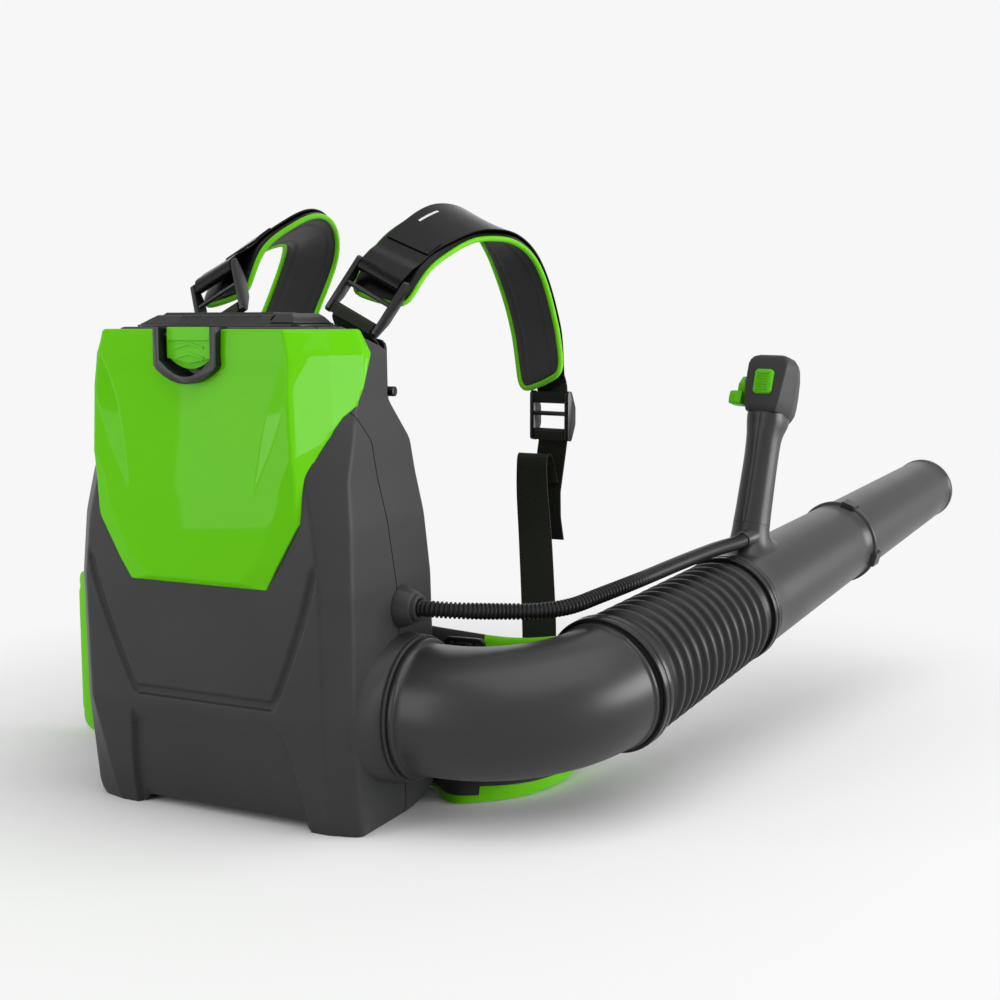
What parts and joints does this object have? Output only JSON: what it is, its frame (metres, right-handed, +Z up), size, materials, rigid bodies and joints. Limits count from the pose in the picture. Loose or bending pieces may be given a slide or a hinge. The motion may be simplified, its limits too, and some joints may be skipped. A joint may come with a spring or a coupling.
{
  "type": "backpack leaf blower",
  "caption": "Battery backpack leaf blower: housing with fan and harness, swivelling blow tube with ribbed bellows, control handle and twist-lock nozzle.",
  "frame": {"origin": "centre of the underside of the middle foot, on the ground under the housing", "axes": "+X to the wearer's right, where the blow tube leaves; +Y the wearer's forward direction; +Z up"},
  "size_m": [0.8508, 0.9938, 0.5974],
  "materials": {
    "charcoal_plastic": "fine moulded texture, satin",
    "green_plastic": "gloss moulded",
    "green_control": "satin moulded",
    "black_plastic": "moulded, satin",
    "steel": "plain",
    "winding": "enamelled copper wire",
    "circuit_board": "solder mask",
    "bellows_rubber": "ribbed, satin",
    "conduit_plastic": "corrugated",
    "back_mesh": "spacer mesh",
    "hip_fabric": "woven face with piping",
    "strap_fabric": "woven face, green piping",
    "webbing": "woven webbing",
    "foot_rubber": "matt"
  },
  "bodies": {
    "housing": {"front_casing": "charcoal_plastic", "back_casing": "charcoal_plastic", "green_cover": "green_plastic", "latch_frame": "black_plastic", "latch_pin": "steel", "latch_spring": "steel", "battery_bay": "black_plastic", "terminal_block": "black_plastic", "control_board": "circuit_board", "volute_front": "black_plastic", "volute_rear": "black_plastic", "motor_stator": "winding", "shaft_bearings": "steel", "intake_grille": "black_plastic", "outlet_duct": "black_plastic", "outlet_collar": "charcoal_plastic", "conduit_gland": "charcoal_plastic", "conduit": "conduit_plastic", "back_plate": "black_plastic", "back_cushion": "back_mesh", "hip_pad": "hip_fabric", "hip_buckle": "black_plastic", "hip_belt": "webbing", "shoulder_pad_left": "strap_fabric", "shoulder_pad_right": "strap_fabric", "upper_webbing_left": "webbing", "upper_webbing_right": "webbing", "upper_buckle_left": "black_plastic", "upper_buckle_right": "black_plastic", "lower_webbing_left": "webbing", "lower_webbing_right": "webbing", "lower_buckle_left": "black_plastic", "lower_buckle_right": "black_plastic", "casing_screws": "steel", "foot_pads": "foot_rubber"},
    "battery": {"battery_pack": "black_plastic"},
    "battery_latch": {"battery_latch": "green_control"},
    "rotor": {"impeller": "black_plastic", "motor_rotor": "steel", "motor_shaft": "steel"},
    "elbow": {"elbow": "charcoal_plastic", "bellows_clamp_rear": "charcoal_plastic", "bellows": "bellows_rubber"},
    "tube": {"main_tube": "charcoal_plastic", "bellows_clamp_front": "charcoal_plastic", "handle_shell_left": "charcoal_plastic", "handle_shell_right": "charcoal_plastic", "handle_head": "charcoal_plastic", "trigger_pin": "steel", "trigger_spring": "steel", "boost_spring": "steel", "switch_module": "black_plastic"},
    "nozzle": {"nozzle": "charcoal_plastic"},
    "trigger": {"trigger": "green_control"},
    "cruise_lever": {"cruise_lever": "green_control"},
    "boost_button": {"boost_button": "green_control"}
  },
  "joints": [
    {"name": "battery_lift", "type": "slide", "parent": "housing", "child": "battery", "axis": [0, 0, 1], "range_m": [0, 0.15]},
    {"name": "latch_lift", "type": "hinge", "parent": "housing", "child": "battery_latch", "pos_m": [0, -0.119, 0.46], "axis": [-1, 0, 0], "range_deg": [0, 30], "stiffness_Nm_per_rad": 0.06, "springref_deg": -20.05, "deforming": ["latch_spring"]},
    {"name": "fan_spin", "type": "hinge", "parent": "housing", "child": "rotor", "pos_m": [-0.02, -0.03, 0.165], "axis": [0, -1, 0], "continuous": true},
    {"name": "elbow_swivel", "type": "hinge", "parent": "housing", "child": "elbow", "pos_m": [0.155, -0.01, 0.107], "axis": [1, 0, 0], "range_deg": [-10, 30], "deforming": ["conduit"]},
    {"name": "bellows_flex", "type": "hinge", "parent": "elbow", "child": "tube", "pos_m": [0.3504, 0.21691, 0.14395], "axis": [0, -0.1607, 0.987], "range_deg": [-10, 25], "deforming": ["bellows", "conduit"]},
    {"name": "nozzle_twist", "type": "hinge", "parent": "tube", "child": "nozzle", "pos_m": [0.43045, 0.5886, 0.20449], "axis": [0.2079, 0.9654, 0.1572], "range_deg": [0, 20]},
    {"name": "trigger_squeeze", "type": "hinge", "parent": "tube", "child": "trigger", "pos_m": [0.38708, 0.40977, 0.34364], "axis": [-0.9847, 0.1736, 0.0175], "range_deg": [0, 8], "stiffness_Nm_per_rad": 0.35, "springref_deg": -8.59, "deforming": ["trigger_spring"]},
    {"name": "cruise_turn", "type": "hinge", "parent": "tube", "child": "cruise_lever", "pos_m": [0.36648, 0.42569, 0.39256], "axis": [-0.9847, 0.1736, 0.0175], "range_deg": [0, 60]},
    {"name": "boost_press", "type": "slide", "parent": "tube", "child": "boost_button", "axis": [0.1643, 0.9563, -0.2419], "range_m": [0, 0.0025], "stiffness_N_per_m": 400, "springref_m": -0.002, "deforming": ["boost_spring"]}
  ]
}
